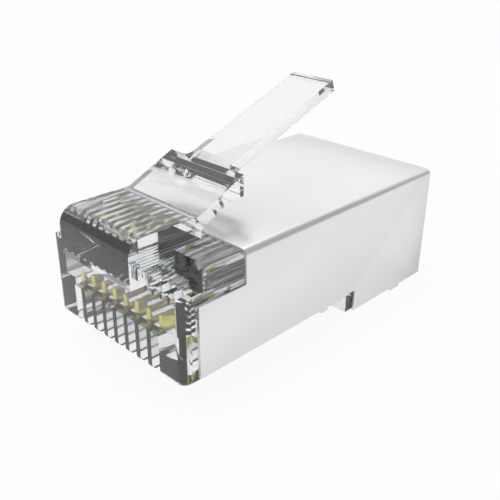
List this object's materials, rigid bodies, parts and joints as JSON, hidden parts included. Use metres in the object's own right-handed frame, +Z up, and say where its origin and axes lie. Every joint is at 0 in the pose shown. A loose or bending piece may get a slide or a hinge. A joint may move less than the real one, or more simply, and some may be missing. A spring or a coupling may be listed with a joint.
{
  "type": "modular plug",
  "caption": "Clear modular data plug with a folded metal shield, a comb of gold contact blades under the nose and a sprung latch lever on top.",
  "frame": {"origin": "under the middle of the plug, on the plane that the bent-under tabs of the shield reach", "axes": "+Z up with the latch on top, -Y the way the plug goes into a jack, +X sideways"},
  "size_m": [0.012, 0.023, 0.0142],
  "materials": {
    "clear_polycarbonate": "clear and polished, as moulded",
    "nickel_plated_steel": "satin bright nickel on rolled sheet",
    "gold_plated_bronze": "bright gold plate"
  },
  "bodies": {
    "plug_body": {"housing": "clear_polycarbonate", "shield": "nickel_plated_steel", "contact_1": "gold_plated_bronze", "contact_2": "gold_plated_bronze", "contact_3": "gold_plated_bronze", "contact_4": "gold_plated_bronze", "contact_5": "gold_plated_bronze", "contact_6": "gold_plated_bronze", "contact_7": "gold_plated_bronze", "contact_8": "gold_plated_bronze"},
    "latch_lever": {"latch": "clear_polycarbonate"}
  },
  "joints": [
    {"name": "latch_press", "type": "hinge", "parent": "plug_body", "child": "latch_lever", "pos_m": [0, -0.00666, 0.00876], "axis": [-1, 0, 0], "range_deg": [0, 22], "stiffness_Nm_per_rad": 0.02}
  ]
}
